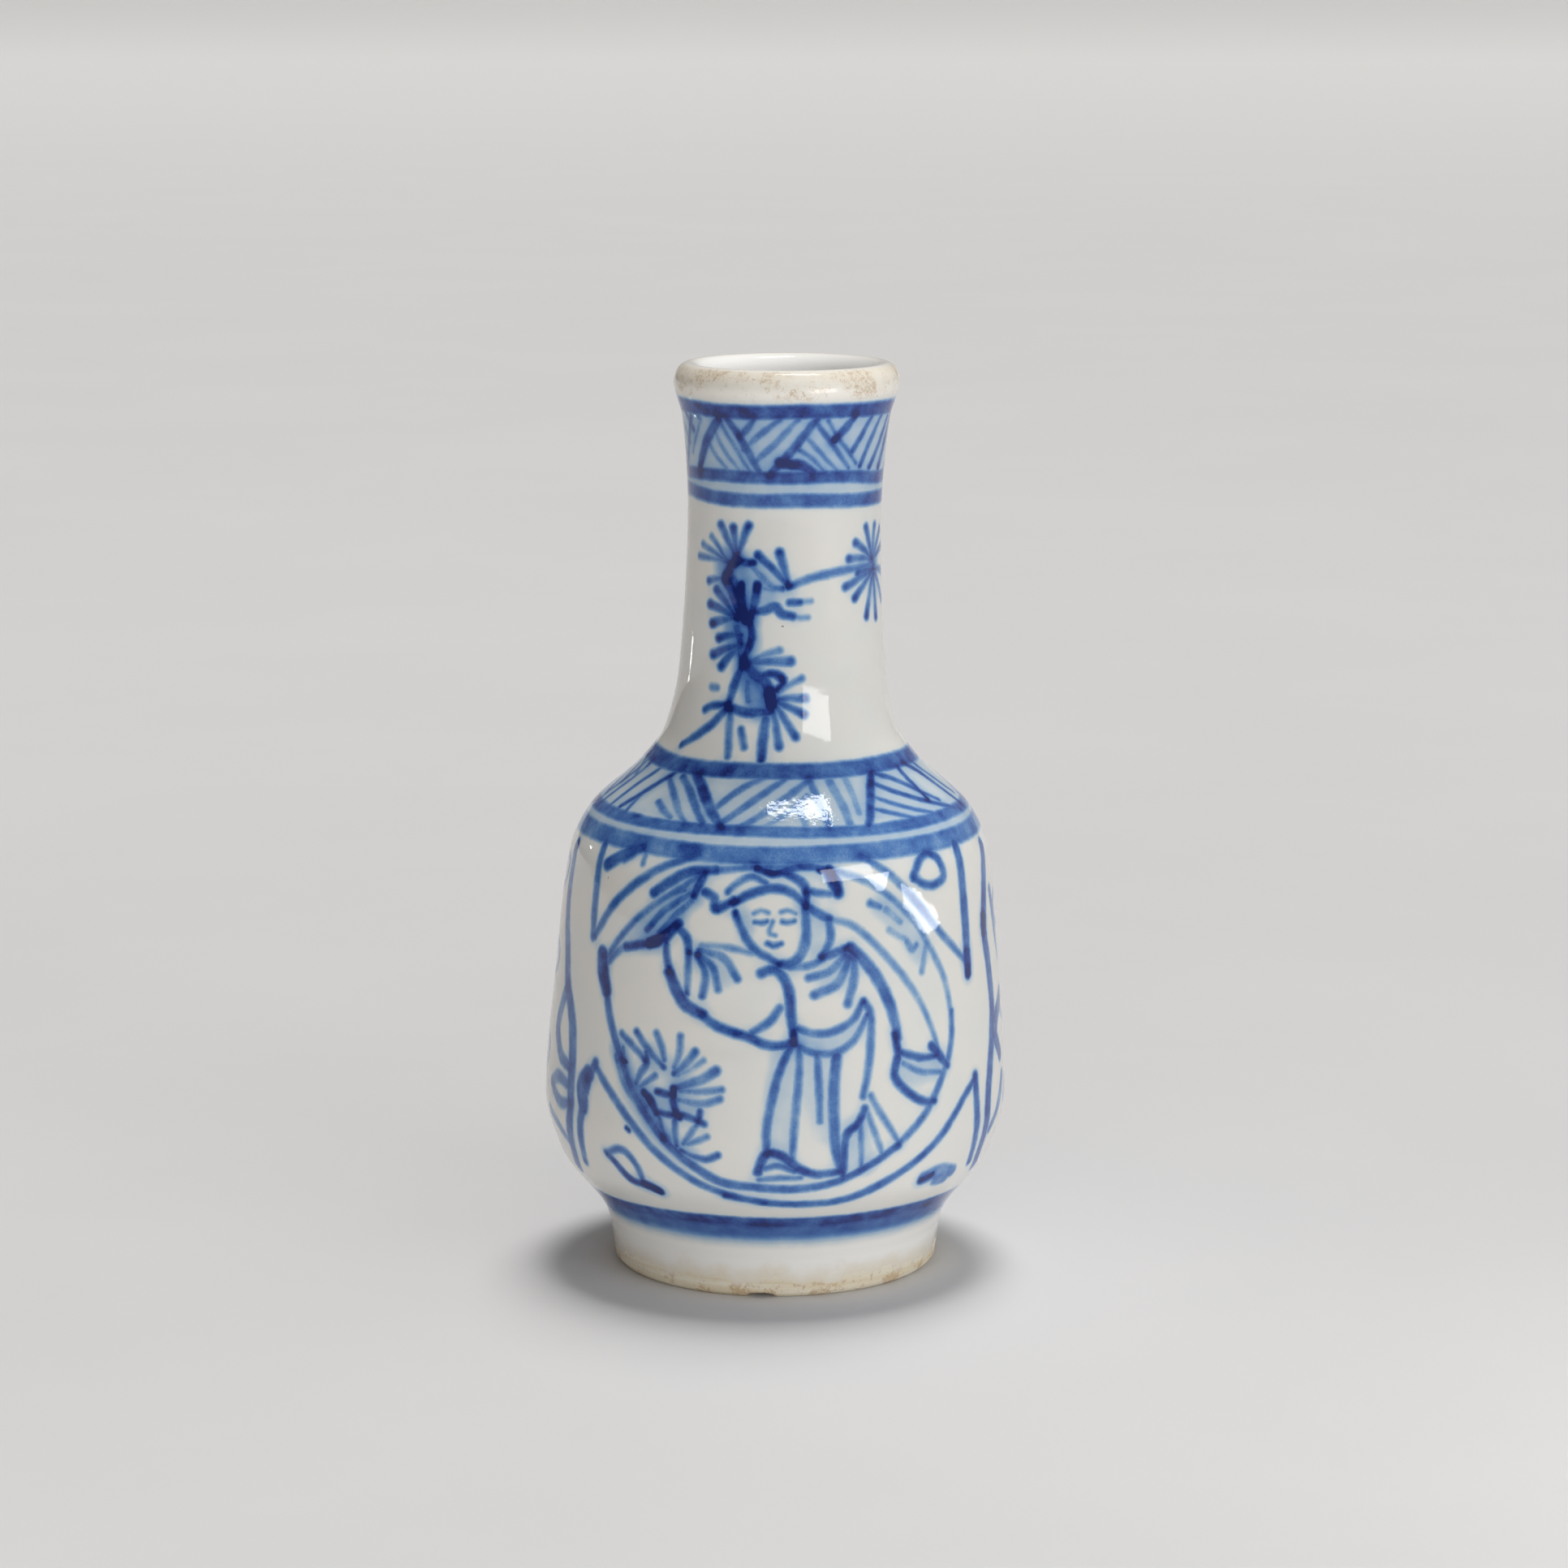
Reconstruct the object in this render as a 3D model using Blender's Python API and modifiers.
"""A miniature bottle vase of thrown and glazed porcelain, 60 mm tall, hollow, on a turned foot ring.

Metres, +Z up. The origin is the centre of the circle that the foot ring stands on.
The vase is one piece: a turned wall with a true thickness, whose upper part leans a little to +X,
as the thrown original does, and with a small chip in the standing edge of its foot.
"""

import math

import bmesh
import bpy
from mathutils import Matrix

MM = 0.001

# Heights of the outer wall's stretches, which stack from the ground up.
FOOT_HEIGHT = 2.7 * MM
FOOT_CURVE_RISE = 1.1 * MM
UNDERCUT_RISE = 4.2 * MM
BELLY_TURN_RISE = 3.6 * MM
LOWER_WALL_RISE = 8.4 * MM
UPPER_WALL_RISE = 8.0 * MM
SHOULDER_TURN_RISE = 2.4 * MM
SHOULDER_CONE_RISE = 3.6 * MM
NECK_CURVE_RISE = 2.0 * MM
NECK_ROOT_RISE = 4.4 * MM
NECK_RISE = 9.8 * MM
FLARE_RISE = 6.2 * MM
LIP_RISE = 2.35 * MM
LIP_CROWN = 1.25 * MM

# Outer radii at the joints between those stretches.
STANDING_RADIUS = 10.4 * MM
FOOT_RADIUS = 11.05 * MM
FOOT_CURVE_RADIUS = 11.45 * MM
UNDERCUT_RADIUS = 14.45 * MM
BELLY_RADIUS = 15.36 * MM
MIDDLE_RADIUS = 14.75 * MM
UPPER_WALL_RADIUS = 13.85 * MM
SHOULDER_RADIUS = 12.8 * MM
NECK_ROOT_RADIUS = 9.05 * MM
NECK_CURVE_RADIUS = 7.7 * MM
NECK_BASE_RADIUS = 6.78 * MM
NECK_WAIST_RADIUS = 6.36 * MM
FLARE_RADIUS = 6.78 * MM
MOUTH_RADIUS = 7.36 * MM

# Walls, lip, floor and the foot's recess.
BODY_WALL = 1.9 * MM
NECK_WALL = 1.65 * MM
LIP_THICKNESS = 1.85 * MM
FLOOR_THICKNESS = 2.3 * MM
FLOOR_CORNER = 3.0 * MM
FOOT_RING_WIDTH = 1.7 * MM
FOOT_RECESS = 1.5 * MM
FOOT_EDGE = 0.35 * MM
RECESS_CORNER = 0.6 * MM

# How far the mouth's centre stands off the foot's, and the chip in the standing edge.
NECK_LEAN = 0.8 * MM
CHIP_WIDTH = 1.7 * MM
CHIP_DEPTH = 0.55 * MM
CHIP_HEIGHT = 0.28 * MM
CHIP_TURN = math.radians(-95.0)

# How finely the shape is divided.
TURNS = 56
WALL_STEPS = 34
INNER_STEPS = 22
LIP_STEPS = 8
CORNER_STEPS = 4
SEARCH_STEP = 0.05 * MM

GLAZE_COLOUR = (0.80, 0.79, 0.75, 1.0)
GLAZE_ROUGHNESS = 0.08


def stacked(rises, start):
    """Heights of the stations that the rises lead to, one after another from start."""
    heights = [start]
    for rise in rises:
        heights.append(heights[-1] + rise)
    return heights


STATION_HEIGHTS = stacked(
    [FOOT_CURVE_RISE, UNDERCUT_RISE, BELLY_TURN_RISE, LOWER_WALL_RISE, UPPER_WALL_RISE,
     SHOULDER_TURN_RISE, SHOULDER_CONE_RISE, NECK_CURVE_RISE, NECK_ROOT_RISE, NECK_RISE,
     FLARE_RISE, LIP_RISE],
    FOOT_HEIGHT,
)
STATION_RADII = [
    FOOT_RADIUS, FOOT_CURVE_RADIUS, UNDERCUT_RADIUS, BELLY_RADIUS, MIDDLE_RADIUS,
    UPPER_WALL_RADIUS, SHOULDER_RADIUS, NECK_ROOT_RADIUS, NECK_CURVE_RADIUS,
    NECK_BASE_RADIUS, NECK_WAIST_RADIUS, FLARE_RADIUS, MOUTH_RADIUS,
]
BELLY_HEIGHT = STATION_HEIGHTS[3]
NECK_ROOT_HEIGHT = STATION_HEIGHTS[7]
NECK_BASE_HEIGHT = STATION_HEIGHTS[9]
FLARE_HEIGHT = STATION_HEIGHTS[11]
LIP_HEIGHT = STATION_HEIGHTS[12]
MOUTH_HEIGHT = LIP_HEIGHT + LIP_CROWN
FLOOR_TOP = FOOT_RECESS + FLOOR_THICKNESS


def smooth_slopes(heights, radii):
    """Slopes at the stations of a cubic that keeps the outline's rises and falls, upright at the lip."""
    steps = [b - a for a, b in zip(heights, heights[1:])]
    chords = [(b - a) / step for a, b, step in zip(radii, radii[1:], steps)]
    slopes = [chords[0]]
    for before, after, low, high in zip(chords, chords[1:], steps, steps[1:]):
        if before * after <= 0:
            slopes.append(0.0)
            continue
        near, far = 2 * high + low, high + 2 * low
        slopes.append((near + far) / (near / before + far / after))
    slopes.append(0.0)
    return slopes


STATION_SLOPES = smooth_slopes(STATION_HEIGHTS, STATION_RADII)


def outer_radius(height):
    """The wall's outer radius at a height between the foot and the lip: a cubic through the stations."""
    last = len(STATION_HEIGHTS) - 2
    index = min(last, max(0, sum(h <= height for h in STATION_HEIGHTS) - 1))
    step = STATION_HEIGHTS[index + 1] - STATION_HEIGHTS[index]
    t = (height - STATION_HEIGHTS[index]) / step
    return (
        (1 + 2 * t) * (1 - t) ** 2 * STATION_RADII[index]
        + t * (1 - t) ** 2 * step * STATION_SLOPES[index]
        + t * t * (3 - 2 * t) * STATION_RADII[index + 1]
        + t * t * (t - 1) * step * STATION_SLOPES[index + 1]
    )


def wall_at(height):
    """The wall's thickness: the body's below the neck's root, the neck's above it, evenly between."""
    share = (height - NECK_ROOT_HEIGHT) / (NECK_BASE_HEIGHT - NECK_ROOT_HEIGHT)
    return BODY_WALL + (NECK_WALL - BODY_WALL) * min(1.0, max(0.0, share))


def inner_point(height):
    """The point of the inner wall that lies one wall thickness square in from the outer wall."""
    rise = outer_radius(height + SEARCH_STEP) - outer_radius(height - SEARCH_STEP)
    slope = rise / (2 * SEARCH_STEP)
    length = math.hypot(1.0, slope)
    wall = wall_at(height)
    return outer_radius(height) - wall / length, height + wall * slope / length


def floor_line():
    """The inner floor from the axis out, its round corner up into the wall, and where that ends."""
    start = FOOT_HEIGHT + FLOOR_CORNER
    while inner_point(start)[1] < FLOOR_TOP + FLOOR_CORNER:
        start += SEARCH_STEP
    wall_radius, wall_height = inner_point(start)
    corner_radius = wall_radius - FLOOR_CORNER / 3
    flat_radius = wall_radius - FLOOR_CORNER * 2
    line = [(0.0, FLOOR_TOP), (flat_radius / 2, FLOOR_TOP), (flat_radius, FLOOR_TOP)]
    for k in range(1, CORNER_STEPS):
        t = k / CORNER_STEPS
        line.append((
            (1 - t) ** 2 * flat_radius + 2 * t * (1 - t) * corner_radius + t * t * wall_radius,
            FLOOR_TOP + t * t * (wall_height - FLOOR_TOP),
        ))
    return line, start


def lip_line():
    """The lip's crown, half an ellipse from the bore's edge over the top to the lip's widest height."""
    middle = MOUTH_RADIUS - LIP_THICKNESS / 2
    line = []
    for k in range(LIP_STEPS):
        turn = math.pi * (1 - k / LIP_STEPS)
        line.append((
            middle + LIP_THICKNESS / 2 * math.cos(turn),
            LIP_HEIGHT + LIP_CROWN * math.sin(turn),
        ))
    return line


def foot_line():
    """The outer foot, its worn standing edge, the flat ring that it stands on and the recess inside it."""
    edge_radius = (STANDING_RADIUS + FOOT_RADIUS) / 2
    ring_radius = STANDING_RADIUS - FOOT_RING_WIDTH
    return [
        ((edge_radius + FOOT_RADIUS) / 2, (FOOT_EDGE + FOOT_HEIGHT) / 2),
        (edge_radius, FOOT_EDGE),
        (STANDING_RADIUS, 0.0),
        (ring_radius, 0.0),
        (ring_radius - FOOT_EDGE, FOOT_EDGE),
        (ring_radius - FOOT_EDGE, FOOT_RECESS - RECESS_CORNER),
        (ring_radius - FOOT_EDGE - RECESS_CORNER, FOOT_RECESS),
        (0.0, FOOT_RECESS),
    ]


def vase_profile():
    """The closed wall's half section, from the floor's centre up the inside and down the outside."""
    line, start = floor_line()
    for k in range(INNER_STEPS + 1):
        line.append(inner_point(start + (FLARE_HEIGHT - start) * k / INNER_STEPS))
    line += lip_line()
    for k in range(WALL_STEPS + 1):
        height = LIP_HEIGHT + (FOOT_HEIGHT - LIP_HEIGHT) * k / WALL_STEPS
        line.append((outer_radius(height), height))
    return line + foot_line()


def lean_at(height):
    """How far the vase's centre has moved to +X at a height: nothing up to the belly, then evenly."""
    return NECK_LEAN * max(0.0, height - BELLY_HEIGHT) / (MOUTH_HEIGHT - BELLY_HEIGHT)


def collection(name):
    """A new collection in the scene."""
    made = bpy.data.collections.new(name)
    bpy.context.scene.collection.children.link(made)
    return made


def glazed_porcelain():
    """White porcelain under a clear glaze."""
    material = bpy.data.materials.new("glazed_porcelain")
    material.use_nodes = True
    shader = material.node_tree.nodes["Principled BSDF"]
    shader.inputs["Base Color"].default_value = GLAZE_COLOUR
    shader.inputs["Roughness"].default_value = GLAZE_ROUGHNESS
    shader.inputs["Metallic"].default_value = 0.0
    return material


def turned_wall(where):
    """The half section turned once round the axis, then leaned."""
    profile = vase_profile()
    mesh = bpy.data.meshes.new("vase_section")
    mesh.from_pydata([(r, 0.0, z) for r, z in profile], [(k, k + 1) for k in range(len(profile) - 1)], [])
    section = bpy.data.objects.new("vase_section", mesh)
    where.objects.link(section)
    screw = section.modifiers.new("turn", "SCREW")
    screw.axis = "Z"
    screw.steps = TURNS
    screw.render_steps = TURNS
    screw.use_merge_vertices = True
    screw.merge_threshold = 0.000001

    bpy.context.view_layer.update()
    turned = bpy.data.meshes.new_from_object(section.evaluated_get(bpy.context.evaluated_depsgraph_get()))
    bpy.data.objects.remove(section)
    for vertex in turned.vertices:
        vertex.co.x += lean_at(vertex.co.z)
    vase = bpy.data.objects.new("bottle_vase", turned)
    where.objects.link(vase)
    return vase


def chip_cutter(where):
    """A flattened ball that takes a small shell-shaped chip out of the foot's standing edge."""
    shape = bmesh.new()
    bmesh.ops.create_uvsphere(shape, u_segments=16, v_segments=8, radius=1.0)
    bmesh.ops.scale(shape, vec=(CHIP_DEPTH, CHIP_WIDTH / 2, CHIP_HEIGHT), verts=shape.verts)
    mesh = bpy.data.meshes.new("foot_chip")
    shape.to_mesh(mesh)
    shape.free()
    cutter = bpy.data.objects.new("foot_chip", mesh)
    cutter.matrix_world = (
        Matrix.Rotation(CHIP_TURN, 4, "Z") @ Matrix.Translation((STANDING_RADIUS, 0.0, 0.0))
    )
    cutter.hide_render = True
    cutter.display_type = "WIRE"
    where.objects.link(cutter)
    return cutter


def main():
    for thing in list(bpy.data.objects):
        bpy.data.objects.remove(thing)
    parts = collection("miniature_bottle_vase")
    cutters = collection("cutters")

    vase = turned_wall(parts)
    chip = vase.modifiers.new("foot_chip", "BOOLEAN")
    chip.operation = "DIFFERENCE"
    chip.solver = "EXACT"
    chip.object = chip_cutter(cutters)

    vase.data.materials.clear()
    vase.data.materials.append(glazed_porcelain())
    vase.data.shade_smooth()
    vase.data.set_sharp_from_angle(angle=math.radians(40.0))


main()
